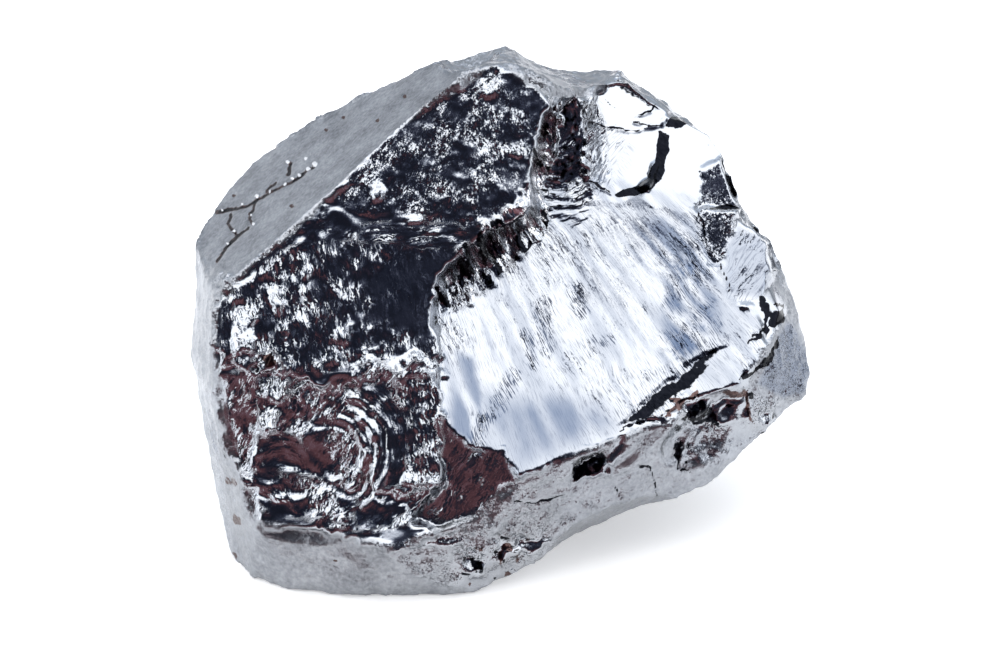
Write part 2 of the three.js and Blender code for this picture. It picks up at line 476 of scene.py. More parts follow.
lay_mark("matte", 0.6, rim)
lay_mark("matte", 0.55, hidden)
uneven = (rim + hidden) * (0.5 + 0.5 * ease(swell(around, 9, 60), -0.4, 0.4))
lift += (rim + hidden) * 0.30 * swell(around, 6, 61) + uneven * flaked(around, 4.5, 0.17, 62, 0.5)
lift += uneven * (0.12 * swell(around, 1.8, 63) + flaked(around, 1.7, 0.24, 64, 0.5))
lay_mark("crush", 0.8, uneven)
turned = 0.6 * swell(around, 5, 59)
for centre in [(-22, 12, -26), (8, 26, -28), (28, -1, -25), (-24, -12, -26), (-40, -14, -12), (44, 4, -14)]:
    reach = np.sqrt(sum((a - c) ** 2 for a, c in zip(around, centre)))
    lift += hidden * 0.09 * np.sin(reach / 0.55 + 3 * turned) * ease(reach, 3, 7) * (1 - ease(reach, 12, 18))
lay_mark("blue_and_painted_shade", 0.6, hidden * ease(swell(around, 8, 58) + 0.4 * swell(around, 2.5, 57), -0.1, 0.5))
left_edge = [
    (-46, 6), (-40.5, 5), (-40.8, -6), (-39.3, -14), (-37.3, -22), (-35.3, -27.5), (-37, -36), (-44, -34),
]
left_band = patch(left_edge, 0.8) * rim
upright = x + 0.25 * swell([x, y], 2, 65)
lift += left_band * (0.12 * swell([upright, y / 6], 0.8, 66) + 0.25 * swell([upright, y / 4], 2.2, 67))
# The brown on the lower left rim is a painted reflection of the brown room.
lay_mark("brown_and_painted_reflection", 0.75, left_band * ease(swell([upright, y / 3], 0.9, 68), 0.3, 0.8) * ease(-y, 16, 22))
low_corner = [
    (-35.5, -27.5), (-25, -29), (-16, -32.3), (-12, -35.5), (-8, -37), (-12, -40), (-34, -40), (-37, -33),
]
low_face = patch(low_corner, 0.8) * rim
lay_mark("matte", 0.85, low_face)
marks["crush"] *= 1 - 0.6 * low_face
# A brown dot on the rim, a painted reflection of the brown room.
lay_mark("brown_and_painted_reflection", 0.9, rim * (1 - ease(np.hypot(x + 24, y + 33.4), 0.15, 0.4)))
lower_edge = [
    (-13, -29.5), (-8, -30), (-3, -27.5), (3, -22.5), (10, -20), (17.5, -16.5), (25, -14), (31, -10),
]
flow_line, _, _ = trace(lower_edge)
flow = ease(7 - flow_line, 0, 3) * rim * ease(x, -14, -10)
lift += flow * 0.16 * swell([flow_line + 0.4 * swell([x, y], 3, 69), (x + 0.5 * y) / 7], 1.0, 70)
busy_rim = patch([(24, -13), (31, -10), (36, -8), (42, -10), (38, -16), (30, -20), (25, -19)], 1.0) * rim
lift += busy_rim * (flaked([x, y], 2.4, 0.3, 73) + flaked([x, y], 1.0, 0.25, 74))
# The busy rim is painted dark in spots, as a dark reflection.
lay_mark("painted_shade_and_reflection", 0.6, busy_rim * ease(swell([x, y], 1.4, 75), 0.3, 0.6))
marks["matte"] *= 1 - 0.4 * busy_rim
curled = [(-5, -31), (0, -29.5), (5, -29.5), (9, -30), (9, -33), (4, -36.5), (-3, -38), (-8, -36.5)]
curls = patch(curled, 1.0) * rim
lift += curls * (flaked([x, y], 2.6, 0.4, 76) + flaked([x, y], 1.1, 0.3, 77))
# The curls are painted dark and brown, as dark and brown reflections.
lay_mark("painted_shade_and_reflection", 0.8, curls * ease(swell([x, y], 1.0, 78), 0.2, 0.8))
lay_mark("brown_and_painted_reflection", 0.7, curls * ease(swell([x, y], 1.4, 79), 0.2, 0.8))
marks["matte"] *= 1 - 0.4 * curls
for up, right, outline in [
    (7, -12, [(10, -21.5), (10.5, -20), (12, -18.2), (13.5, -17.5), (15.3, -19.5), (15, -20.9), (12, -21.6)]),
    (-2, 25, [(18.7, -15.3), (17.4, -17.5), (16, -20.8), (15.4, -20.6), (16.4, -17), (17.6, -15.2)]),
    (4, 0, [(-4.8, -32.8), (-3, -32.4), (-2.2, -34), (-3.6, -35.2), (-4.9, -34.4)]),
    (5, 8, [(26, -10.8), (28, -9.5), (31, -9.6), (30, -12), (27, -12.8)]),
    (-1, 12, [(30.5, -10.5), (34, -9.6), (34.6, -12), (32, -14), (30.4, -12.5)]),
    (5, 10, [(37.5, -11.5), (39.6, -11.6), (39.2, -13), (37.6, -13)]),
    (-14, 0, [(-16, -28.4), (-13.6, -28.6), (-13.8, -31), (-15.4, -32.2)]),
    (-13, 10, [(-0.5, -30.3), (2.5, -30.6), (2.2, -33), (-0.3, -33.2)]),
    (-12, 15, [(33.4, -9.2), (36, -8.6), (36.6, -13.2), (35.4, -12)]),
    (18, -10, [(1, -31.2), (4, -30), (7, -30.5), (4.5, -32.5)]),
    (20, 0, [(-12, -30.5), (-8, -31.2), (-5, -30.4), (-8, -29.6)]),
]:
    chipped = facet(outline, up, right, soft=0.35, keep=0.8, ragged=0.3)
    marks["matte"] *= 1 - 0.7 * chipped
    marks["crush"] *= 1 - 0.6 * chipped
cool_rim = [(10, -21), (17, -16), (25, -13), (38, -15), (30, -23), (16, -27), (8, -30)]
lay_mark("blue_and_painted_shade", 0.16, rim * patch(cool_rim, 1.5))
# The youngest chips are painted dark, as a dark reflection.
for outline in [
    [(9.6, -21.6), (10.4, -20), (12, -18.4), (14.4, -17.2), (15.6, -17.6), (14.6, -20.4), (12.4, -21.4)],
    [(25.6, -12.4), (27, -10.6), (29.6, -10), (31.4, -12.4), (33.6, -14.6), (30.4, -13.6), (28, -13.8)],
    [(-4.8, -33), (-3.4, -32.4), (-2.4, -34), (-3.8, -35)],
]:
    lay_mark("painted_shade_and_reflection", 0.62, rim * patch(outline, 0.3, ragged=0.3))
for line in [
    [(20.3, -19.6), (21.7, -19.8), (22.3, -21.2), (22.7, -22.3), (23, -24)],
    [(16.5, -22.5), (17.7, -24)],
    [(25.2, -17.5), (26, -20), (28, -20.7)],
    [(2, -24.4), (5.5, -24.8), (9, -24)],
]:
    gap, _, _ = trace(line)
    crack = rim * (1 - ease(gap, 0.05, 0.3))
    # Fine cracks in the rim are painted dark, as shade in them, and dented a little.
    lay_mark("painted_shade_and_reflection", 0.7, crack)
    lift -= 0.15 * crack

# ---- The great scoop ----
# One flake took the whole right half of the face and left a bright shell of a hollow, with fine hackle
# lines fanning down it from the upper left.

scoop_outline = [
    (-9, -8), (-9.3, -2), (-8, 3.5), (-4.5, 6), (-1, 8.5), (4, 12.5), (6.3, 16), (6.2, 20.5), (7, 22.5),
    (14, 22.5), (20, 21.6), (29, 20.3), (32, 14), (34, 6), (39, -1), (35, -8), (28, -9), (24, -12),
    (17, -14.7), (10, -18), (3, -20.8), (0, -17.3), (-4, -17.5), (-7, -15),
]
scoop = patch(scoop_outline, 0.5, ragged=0.4)
scoop_middle = (14, -1, 5.2)
in_x = x - scoop_middle[0]
in_y = y - scoop_middle[1]
bend_across = np.where(in_x < 0, 224, -700)
bend_up = 300
shell = scoop_middle[2] - 0.0875 * in_x - 0.435 * in_y
shell = shell + in_x * in_x / bend_across + in_y * in_y / bend_up
w += patch(scoop_outline, 0.4, ragged=0.4) * (shell - w)
fan = (-41.6, 91.5)
fan_radius = 105
fan_across = fan_radius * np.arctan2(x - fan[0], fan[1] - y)
fan_down = np.hypot(x - fan[0], y - fan[1])
wavy = fan_across + 0.35 * swell([x, y], 4, 5)
busy = ease(swell([x, y], 7, 9), -0.4, 0.5)
w += scoop * (0.015 + 0.035 * busy) * swell([wavy, fan_down / 5], 0.8, 3)
w += scoop * (0.03 + 0.05 * busy) * swell([wavy, fan_down / 4], 2.0, 4)
w += scoop * 0.2 * swell([wavy, fan_down / 3], 6, 6)
marks["across"] = 1.6 * wavy
marks["along"] = fan_down / 4
marks["hackle"] += scoop * (0.15 + 0.22 * busy - marks["hackle"])
# Dark lines along the hackle grain are painted shade.
lay_mark("painted_line_shade", 1.0, scoop * (0.6 + 0.7 * busy))

# ---- The upper left face ----
# Black and glassy, because it stands nearly square to the eye and mirrors the dark room. It tore into upright
# splinters towards its left edge, and some of those tip up far enough to catch the light.


def comb(outline, degrees, amount, stretch=2.0, about=None, soft=0.4):
    """Lays the grain of the break along one direction, or round a centre, and gives it so much bite."""
    inside = patch(outline, soft)
    a = math.radians(degrees)
    down = x * math.cos(a) + y * math.sin(a)
    over = y * math.cos(a) - x * math.sin(a) + 0.5 * swell([x, y], 3, 16)
    if about:
        over = np.hypot(x - about[0], y - about[1]) + 0.3 * swell([x, y], 2.5, 17)
        down = over * np.arctan2(y - about[1], x - about[0])
    marks["across"] = np.where(inside > 0.5, over, marks["across"])
    marks["along"] = np.where(inside > 0.5, down / stretch, marks["along"])
    marks["hackle"] += inside * (amount - marks["hackle"])


def glints(facets, keep=0.8, ragged=0.4):
    """Small facets tipped up to the light, each standing out from the surface below its upper edge."""
    for outline, up, right in facets:
        across, rise = zip(*outline)
        hinge = (sum(across) / len(across), 0.75 * max(rise) + 0.25 * min(rise))
        facet(outline, up, right, soft=0.25, keep=keep, hinge=hinge, ragged=ragged)


upper_left = [
    (-36.2, 8.8), (-30, 14), (-25, 18.5), (-20, 16), (-8, 17.5), (-3, 16.5), (-4, 12), (-7.8, 5), (-9.3, -1),
    (-9, -6), (-20, -6), (-30, -6), (-40.5, -5.5), (-40.5, 5),
]
facet(upper_left, 5, 5.5, soft=0.4, keep=0.95, hinge=(-33, 2), ragged=0.8, grow=0.5)
torn = patch(upper_left, 0.6, ragged=0.4) * (1 - cast)
glassy = [(-19, 2), (-19, 8), (-15, 12.5), (-5, 13), (-4, 10), (-8.5, 2), (-9, -2), (-13, 0)]
calm = patch(glassy, 1.5, ragged=0.6)
upright_turn = 1.75
splinter = [
    (x * math.cos(upright_turn) + y * math.sin(upright_turn)) / 1.8 + 0.5 * swell([x, y], 3, 23),
    y * math.cos(upright_turn) - x * math.sin(upright_turn) + 0.8 * swell([x, y], 3, 24),
]
w += torn * (1 - 0.85 * calm) * flaked(splinter, 2.2, 0.2, 41)
w += torn * (1 - 0.75 * calm) * flaked(splinter, 0.9, 0.15, 42)
comb(upper_left, 100, 0.5, stretch=3)
marks["hackle"] *= 1 - 0.65 * calm
comb([(-33.5, 12.5), (-25, 18.5), (-21, 16), (-22, 13.5), (-28, 13)], 40, 0.3)
comb([(-21, 13.5), (-20, 16), (-8, 16.2), (-3, 15), (-5, 12.8), (-12, 12.5)], 4, 0.45, stretch=8)
under_skin = [
    (-37, 7.5), (-30, 13.3), (-25, 18), (-22, 22), (-23.5, 18), (-27.5, 13.8), (-31, 11.2), (-36, 6.5),
]
glints(
    [
        ([(-39.5, 4.5), (-37, 5), (-35.5, 2), (-36, -3), (-38.5, -2.5)], 22, -14),
        ([(-34.5, 7), (-33, 8), (-31, 4.5), (-32, 2.5)], 21, -6),
        ([(-29.5, 11.5), (-28.3, 11.8), (-27.2, 8.5), (-28.2, 8)], 21, 0),
        ([(-24.5, -1), (-23, 2.5), (-22, 2), (-23, -1.5)], 20, -5),
        ([(-32.5, -1.5), (-31.5, 2.5), (-30.8, 2), (-31.4, -2)], 22, 0),
        (under_skin, 22, -10),
    ]
)

# ---- The crushed shoulder ----
# Under the skin's edge the hammer crushed the silicon to a crumple of small facets, dark with bright
# flecks, running up to the top of the lump.

shoulder = [
    (-20, 25.7), (-14, 30.5), (-8, 34.4), (-3, 37.8), (-2.4, 38.8), (0, 38.9), (2, 37.8), (3.5, 36.8),
    (5, 35.8), (6.6, 34.9), (9, 33), (9.5, 28), (9.5, 22), (7, 19), (4.5, 13), (0, 11), (-4, 14), (-8, 17.5),
    (-14, 17.5), (-20, 16.5), (-25, 19),
]
facet(shoulder, 5, 5, soft=0.4, keep=0.95, hinge=(-12, 15.5), ragged=0.6, grow=0.3)
crumple = patch(shoulder, 0.6, ragged=0.5) * (1 - cast)
drift = [x + 1.0 * swell([x, y], 4, 21), y + 1.0 * swell([x, y], 4, 22)]
w += crumple * flaked(drift, 5.0, 0.06, 31)
w += crumple * flaked(drift, 1.8, 0.09, 32)
w += crumple * flaked(drift, 1.0, 0.12, 33)
comb(shoulder, 62, 0.3, stretch=3)
comb([(-5, 17), (-6, 25), (-3, 37), (8, 35), (8, 20), (3, 19)], 116, 0.32, stretch=3, soft=1.5)
lay_mark("crush", 0.35, crumple)
bowl = [
    (6.4, 16.5), (6.2, 20.5), (6.7, 24), (6.7, 28), (7.4, 31), (8, 34), (12.8, 33.5), (13.5, 29),
    (13.2, 24.5), (14.6, 20), (10, 16.5),
]
bowl_floor = np.maximum(shell, -2.5 + 0.06 * (y - 22) - 0.25 * (x - 9))
bowl_floor += ease(y, 15, 18) * (flaked(drift, 3.0, 0.08, 34) + flaked(drift, 1.2, 0.14, 35))
w += patch(bowl, 0.5, ragged=0.8) * (bowl_floor - w)
cliff = [(12.2, 33.8), (14, 35.5), (15.4, 31), (16, 27), (16.4, 21.5), (14.8, 19.5), (13.6, 22), (12.8, 27)]
facet(cliff, 10, 36, soft=0.5, hinge=(12.6, 27), ragged=0.5, grow=0.2)
comb(bowl, 0, 0.4, stretch=5, about=(7.5, 31))
marks["crush"] *= 1 - 0.7 * patch(bowl, 0.5)
# The upper bowl is painted darker, as shade in the hollow.
lay_mark("painted_shade_and_reflection", 0.46, patch(bowl, 0.4, ragged=0.8) * ease(y + 0.2 * x, 22.5, 24.5))
glints(
    [
        ([(-3, 35.5), (-0.5, 37.2), (0.8, 36.2), (-1.5, 34.6)], 22, 0),
        ([(1.4, 26), (2.6, 28.4), (3.4, 26.4), (2.6, 25.4)], 22, 8),
        ([(4.8, 24), (4.6, 27), (5.6, 29), (6.6, 29), (6.4, 26), (6, 23.2)], 21, 6),
        ([(-19.5, 21), (-18, 22.6), (-17.3, 21), (-18.6, 19.4)], 22, -8),
        ([(-21.5, 24.5), (-20, 25.4), (-19.2, 24), (-20.4, 23)], 20, -12),
    ],
    ragged=0.3,
)
for outline in [
    [(-8.2, 31.6), (-8.4, 33), (-6, 34), (-4.6, 33.7), (-5.2, 32.4), (-6.8, 31.6)],
    [(1, 38), (5, 36.4), (8, 34.6), (12, 33.6), (12.6, 31), (5.5, 29.5), (3, 32), (0.5, 35)],
    [(-4, 17.6), (-3, 20.5), (-1, 22.5), (2.5, 25.5), (5.6, 25.5), (5.8, 19.5), (3, 18.6)],
    [(-8, 23), (-9, 26.5), (-5.5, 28.5), (-3.5, 26.5), (-4.5, 23.5)],
]:
    quiet = patch(outline, 0.8, ragged=0.5)
    marks["crush"] *= 1 - 0.6 * quiet
    marks["hackle"] *= 1 - 0.6 * quiet

# ---- The hackle wall ----
# The upper left wall of the scoop, where the crack tore down in splinters. Half of them are painted dark,
# as a dark reflection, and some pale, as painted highlights. Past the corner of the scoop it narrows to a
# ragged step below the shoulder.

wall_outline = [
    (-9.4, -2), (-9.6, 1), (-8.5, 7), (-5.5, 12), (-2, 15.5), (2.2, 18), (4.4, 21), (5, 24.5), (5.4, 28),
    (6.2, 31), (7.2, 31), (6.9, 24), (6.4, 20.5), (6.9, 16.5), (4.5, 11.8), (-1, 7.5), (-4.5, 5), (-8, 2.5),
]
wall = patch(wall_outline, 0.4, ragged=0.5, grow=0.4)
shore_line = [
    (-9.3, -2), (-8, 3), (-4.5, 5.5), (-1, 8), (4, 12), (6.8, 16.5), (6.6, 21), (6.8, 25), (7.1, 31),
]
shore, _, _ = trace(shore_line)
left_ground = 12.7 - 0.096 * (x + 33) - 0.088 * (y - 2)
shoulder_ground = 9.6 - 0.0875 * (x + 12) - 0.0875 * (y - 15.5)
ground = np.minimum(left_ground, shoulder_ground)
foot = 1.8 + 1.8 * swell([wavy, fan_down / 7], 1.3, 82) + 1.2 * swell([wavy, fan_down / 6], 2.6, 83)
upper = ease(y, 14, 19)
climb = ease(shore - foot * (1 - 0.75 * upper), 0, 4.0 - 2.4 * upper)
climb = np.maximum(climb, ease(shore, 4.0 - 2.7 * upper, 6.2 - 4.1 * upper))
climbed = bowl_floor + (ground - bowl_floor) * climb
w += wall * (1 - ease(shore, 4.6 - 2.9 * upper, 6.0 - 3.5 * upper)) * (climbed - w)
w += wall * (flaked([wavy, fan_down / 3], 1.6, 0.45, 7) + flaked([wavy, fan_down / 2.5], 0.9, 0.25, 8))
w += wall * upper * (flaked(drift, 2.2, 0.4, 36) + flaked(drift, 1.1, 0.35, 37))
marks["across"] = np.where(wall > 0.5, 1.1 * wavy, marks["across"])
marks["along"] = np.where(wall > 0.5, fan_down / 5, marks["along"])
marks["hackle"] += wall * (0.8 - marks["hackle"])
marks["crush"] *= 1 - wall
# Dark lines along the splinters are painted shade.
lay_mark("painted_line_shade", 1.6, wall)
splinters = 0.7 * swell([wavy, fan_down / 6], 0.55, 85)
splinters += 0.8 * swell([wavy + 0.3 * fan_down, fan_down / 3], 1.4, 86)
# Splinters painted dark as dark reflections, and others pale as painted highlights.
lay_mark("painted_shade_and_reflection", 0.85, wall * ease(splinters + 0.2 * climb, 0.15, 0.4))
lay_mark("painted_highlight", 0.9, wall * ease(-splinters - 0.2 * climb, 0.25, 0.5))
lay_mark("painted_highlight", 0.8, wall * upper * ease(swell([wavy, fan_down / 3], 0.5, 87), -0.2, 0.2))

# ---- The rippled corner ----
# The lower left of the face leans down and mirrors the brown of the room. Flakes left it in shells, the
# right side of each edged with bright ripples about one centre.

corner = [
    (-40.5, -6), (-36, -5.2), (-33, -8.2), (-30, -6.4), (-26.5, -8.4), (-22, -5.8), (-18, -3.6),
    (-15.2, -6.4), (-12.4, -4.2), (-9.5, -6.6), (-8.3, -13), (-8, -22), (-12, -27.5), (-20, -29.6),
    (-30, -27.4), (-36, -26), (-38, -20), (-39.5, -13),
]
brown_face = [
    (-8, -13), (-7, -15), (-4, -17.5), (0, -17.3), (1.5, -20), (3, -21.2), (0, -22.8), (-2.5, -25.8),
    (-5, -27), (-8.5, -28.5), (-12.5, -27.5), (-11, -25), (-8, -22),
]
facet(corner, -4, -3, soft=0.4, keep=0.9, hinge=(-24, -11), ragged=0.9, grow=0.5)
dark_half = [
    (-22, -8.5), (-17, -6.2), (-9.5, -8), (-8.3, -13), (-8, -22), (-12, -22.6), (-18, -23.5), (-20, -19),
    (-19, -14),
]
facet(dark_half, 3, -4, soft=0.4, hinge=(-18, -12), ragged=0.8)
left_strip = [(-41, -5.5), (-36.5, -5), (-35, -9), (-36, -14), (-36.5, -20), (-39, -20), (-40.5, -12)]
brown_pool = [
    (-34.5, -15.5), (-30, -14.2), (-25, -14.6), (-21.5, -17), (-22.5, -20.5), (-28, -21), (-33, -19.5),
]
small_pool = [(-31, -9), (-28, -9.5), (-26, -12), (-28.5, -13.5), (-31.5, -12.5)]
for outline, up in [(left_strip, -17), (brown_pool, -15), (small_pool, -15)]:
    facet(outline, up, -3, soft=0.6, ragged=0.6)
bottom_strip = [
    (-35.7, -24.5), (-28, -22.5), (-22, -24.5), (-13.5, -24.5), (-12, -27.5), (-9, -28.8), (-13, -30.6),
    (-16.5, -31.9), (-20, -31), (-25, -30), (-30, -29), (-36, -28),
]
facet(bottom_strip, 8, -4, soft=0.35, hinge=(-24, -21), ragged=0.5)
facet(brown_face, -11, -10, soft=0.4, hinge=(-2, -16.6), ragged=0.3, grow=0.4)
shells = patch(corner, 0.6, ragged=0.4)
ripple_centre = (-26, -18)
ripple_reach = np.hypot(x - ripple_centre[0], y - ripple_centre[1]) + 0.5 * swell([x, y], 3, 26)
ripple_turn = np.arctan2(y - ripple_centre[1], x - ripple_centre[0])
beat = ripple_reach / 2.1 + 0.35 * swell([x, y], 6, 27)
beat -= np.floor(beat)
terrace = np.where(beat < 0.6, beat / 0.6, (1 - beat) / 0.4)
ripples = ease(np.cos(ripple_turn - 0.15), 0.35, 0.8)
ripples *= ease(ripple_reach, 3, 4.5) * (1 - ease(ripple_reach, 9.5, 11))
w += shells * 0.6 * ripples * terrace
darker = 1 - 0.35 * patch(dark_half, 1.0)
w += shells * darker * (1 - 0.8 * ripples) * flaked(drift, 2.8, 0.22, 43)
w += shells * darker * (1 - 0.6 * ripples) * flaked(drift, 1.2, 0.18, 44)
for seam in [
    [(-29, -7), (-22, -6), (-18, -4), (-15, -6.4), (-9.5, -6)],
    [(-36, -24.5), (-28, -22.5), (-22, -24), (-13.5, -23.5), (-9, -22)],
    [(-21, -8), (-19.5, -14), (-20.5, -22)],
]:
    gap, _, _ = trace(seam)
    w += seen * ease(3 - gap, 0, 2.4) * (flaked(drift, 2.2, 0.3, 45) + flaked(drift, 1.1, 0.3, 46))
comb(corner, 60, 0.8, stretch=4)
ripple_half = [(-22, -8.5), (-17, -8), (-13.5, -13), (-14, -22), (-18, -23), (-21, -19), (-20.5, -14)]
comb(ripple_half, 0, 0.35, stretch=6, about=ripple_centre)
brown_bowl = [(-36, -15), (-31, -14.5), (-27.5, -17.5), (-27.5, -21), (-34, -20.5)]
comb(brown_bowl, 0, 0.4, stretch=6, about=(-32, -21.5))
left_shreds = [(-36.5, -3), (-33, -3), (-31.2, -6), (-30.6, -9), (-32, -11.5), (-34, -16), (-35.5, -14)]
for outline, degrees, amount, stretch in [
    ([(-15.5, -7), (-9, -6.5), (-8.3, -14), (-8.5, -22), (-14, -22.5), (-13.5, -14)], 100, 0.8, 3),
    ([(-38, -20.5), (-33, -20.5), (-29, -24), (-27, -27.5), (-33, -26.5), (-37, -23)], -42, 0.5, 3),
    ([(-29.5, -21.5), (-23, -21.5), (-20.5, -25), (-22.5, -28), (-28, -27)], 60, 0.8, 2.5),
    ([(-21.5, -27), (-16.5, -22.3), (-14.3, -22.5), (-13, -25), (-16, -28), (-20, -29)], 35, 0.3, 3),
    (left_shreds, 75, 0.9, 2.5),
    (brown_face, 55, 0.45, 4),
]:
    comb(outline, degrees, amount, stretch)
glints(
    [
        ([(-35.8, -5.6), (-33.6, -5.2), (-31.6, -7), (-31.4, -9.5), (-33, -10.5), (-34.6, -9)], 21, -8),
        ([(-34.6, -11), (-33, -11.2), (-33.2, -14), (-34.8, -15)], 20, -10),
        ([(-13.8, -20.9), (-11, -21.2), (-8.8, -20), (-8.6, -21), (-11, -22.4), (-14, -22)], 22, 10),
        ([(-28, -22.5), (-26.5, -22), (-25.6, -24), (-27, -25)], 20, 0),
        ([(-18, -30.5), (-17, -28.6), (-13.8, -27.6), (-14.2, -29.4), (-16.5, -31)], 21, 0),
        ([(-24.6, -25.4), (-22.8, -25), (-22, -27), (-23.6, -27.6)], 22, 0),
        ([(-30, -7.6), (-26, -8.4), (-23.5, -6.4), (-20.5, -5.2), (-24, -5), (-28, -6.6)], 20, 0),
        ([(-20, -2.6), (-16.4, -3.8), (-12.6, -6.8), (-14.4, -6.6), (-18, -4.6)], 22, 0),
    ],
    keep=0.75,
)
# A brown spot on the corner, a painted reflection of the brown room.
lay_mark("brown_and_painted_reflection", 0.9, patch([(-35.2, -3.4), (-33.4, -3.2), (-33, -4.6), (-34.2, -5.4)], 0.2))
blue_black = [(-35.5, -24), (-31, -25), (-29.4, -26.8), (-33, -26.8)]
facet(blue_black, 2, 0, soft=0.3)
marks["hackle"] *= 1 - 0.8 * patch(blue_black, 0.3)

# ---- The flakes at the upper right ----
# Smooth bright scars where flakes sprang off the edge one after another, each a plane of its own. Dark chips
# lie between them and along the edge; they and a curved band are painted dark, as dark reflections.

curl = [(15, 21), (14.8, 28), (15, 30.8), (22.8, 30.2), (23, 27), (21.8, 22.8), (18, 19.6), (14, 19.5)]
top_flake = [(13.6, 30.6), (14.6, 34.8), (18, 38), (21.5, 36.8), (25, 33.4), (23, 30.6), (17, 30.2)]
right_flake = [
    (23.4, 30), (27.5, 30.8), (31.6, 28), (32.2, 25), (30, 22), (29.5, 18.3), (25, 18.6), (21.5, 19.5),
    (23.4, 24),
]
upper_chip = [
    (31.7, 25.2), (32.7, 23.7), (34, 22), (35, 20), (34.4, 19), (31, 18), (28.8, 18), (29.5, 20),
    (29.8, 23.5),
]
lower_chip = [
    (29.8, 17.4), (34, 17.2), (34, 15.5), (33.5, 13.5), (32.8, 11.5), (32.3, 10), (31, 10.6), (30, 13),
]
side_flake = [(32.8, 5.5), (33, 10), (34.4, 16), (37, 15), (39.5, 9), (37, 4.6)]
for outline, up, right, hinge in [
    (curl, 25, 7, (18, 19)),
    (top_flake, 25, 6, (19, 29.6)),
    (right_flake, 25, 12, (22.6, 26)),
    (upper_chip, 8, 14, (29.2, 21)),
    (lower_chip, 7, 12, (29.6, 14)),
    (side_flake, 22, 16, (32.5, 7)),
]:
    facet(outline, up, right, soft=0.5, hinge=hinge, ragged=0.25, grow=0.4)
glossy = [
    (13, 20), (13.6, 31), (14.5, 36), (18, 38.5), (26, 35), (34, 28), (36, 19), (40, 10), (38, 4), (33, 5),
    (30, 18),
]
gloss = patch(glossy, 0.5)
marks["hackle"] *= 1 - gloss
marks["crush"] *= 1 - gloss
marks["painted_line_shade"] *= 1 - 0.6 * gloss
lay_mark("crush", 0.35, patch([(31.5, 25.5), (34.5, 21), (34, 12), (32, 10), (29.5, 13), (29, 21)], 0.3))
comb([(12.5, 22), (14, 29), (17, 30.8), (19, 28), (15.5, 22)], 52, 0.3, stretch=5)
comb(cliff, 60, 0.9, stretch=4)
# Dark lines on the cliff and the curl are painted shade.
lay_mark("painted_line_shade", 2.0, patch(cliff, 1.2))
lay_mark("painted_line_shade", 0.8, patch([(13, 21), (13.6, 29), (18, 30), (20, 27), (17, 21)], 1.0))
side_grain = [(33, 5), (33.5, 12), (35, 15.5), (38.5, 13), (40, 8), (38, 4)]
comb(side_grain, 55, 0.3, stretch=5)
# Dark lines on the side flake are painted shade.
lay_mark("painted_line_shade", 0.9, patch(side_grain, 0.4))
lay_mark("blue_and_painted_shade", 0.4, patch([(32.8, 6), (33.3, 12), (34.6, 15.5), (38, 13), (40, 9), (38, 5)], 0.6))
curved_band = [
    (22.8, 29.5), (23, 27), (22.5, 24.5), (21.5, 22.5), (20, 21.5), (18, 20.7), (16.8, 20.3), (17.5, 19.8),
    (20, 20), (22, 20.8), (23.3, 22.5), (24, 23.5), (24.5, 26.5), (24.7, 28.5),
]
# The curved band is painted dark, as a dark reflection.
lay_mark("painted_shade_and_reflection", 0.95, patch(curved_band, 0.2))
# Dark chips painted dark, as dark reflections.
for outline, ragged in [
    ([(23.7, 30.2), (25.2, 31.4), (27.8, 30.3), (26.5, 29.7), (25, 29.8)], 0),
    ([(40, 1.8), (41.8, 4.5), (40.5, 5), (39, 4), (37, 5), (37.6, 2.6)], 0.8),
    ([(15.3, 34.6), (16, 34.2), (17.6, 32.8), (16.4, 33.4)], 0),
    ([(29.5, 17.6), (33.5, 19), (36.2, 17.4), (33, 18)], 0),
]:
    lay_mark("painted_shade_and_reflection", 0.9, patch(outline, 0.2, ragged))
for line in [
    [(20, 32), (22, 32.5), (24, 34)],
    [(19.5, 31.2), (23.5, 30.2)],
    [(12, 31.6), (15, 30.2), (19, 29.6), (22.5, 30.4)],
    [(6.5, 21.5), (9, 20.3), (11.5, 20), (14, 21.5)],
    [(7, 18.7), (9, 19.2), (12, 18.8), (13, 19.5)],
    [(16.4, 20.4), (14.8, 21.6), (13.4, 22.2)],
    [(28.6, 18), (29.6, 16), (30, 13.5), (32.4, 9.8), (34, 6.6)],
]:
    gap, _, _ = trace(line)
    # Thin ridges, each painted dark along its line as shade and raised a little.
    ridge = seen * (1 - ease(gap, 0.05, 0.3))
    lay_mark("painted_shade_and_reflection", 0.7, ridge)
    w += 0.15 * seen * (1 - ease(gap, 0.0, 0.6))

# ---- The rolled lip ----
# At the lower right the crack rolled over and ran out, so the scoop ends in a lip, painted dark as a dark
# reflection. The last of its hackle lines lie above it, and the deepest are painted dark, as shade.

lip_line = [(17, -14.2), (20.5, -11.9), (24, -9.1), (27.5, -6.3), (30.5, -4.2), (33, -2.3)]
gap, side, way = trace(lip_line)
half = 1.3 * np.maximum(4 * way * (1 - way), 0)
strokes = swell([side * gap, (x + 0.8 * y) / 8], 0.75, 84)
lip_roll = seen * np.clip(0.3 + 0.7 * (half - gap) + 0.45 * strokes, 0, 1)
# The lip is painted dark, as a dark reflection.
lay_mark("painted_shade_and_reflection", 1.0, lip_roll)
under_lip = patch([(20, -12.5), (24, -10), (29, -6.5), (30, -8.8), (26, -11), (22, -13)], 0.4, 0.6)
# Spots under the lip are painted dark, as shade under it.
lay_mark("painted_shade_and_reflection", 0.6, under_lip * ease(swell([x, y], 0.7, 28), 0, 0.3))
low_lip = patch([(21, -12.6), (24, -10.6), (28, -8), (29, -9), (25, -11.8), (22, -13.2)], 0.4, 0.6)
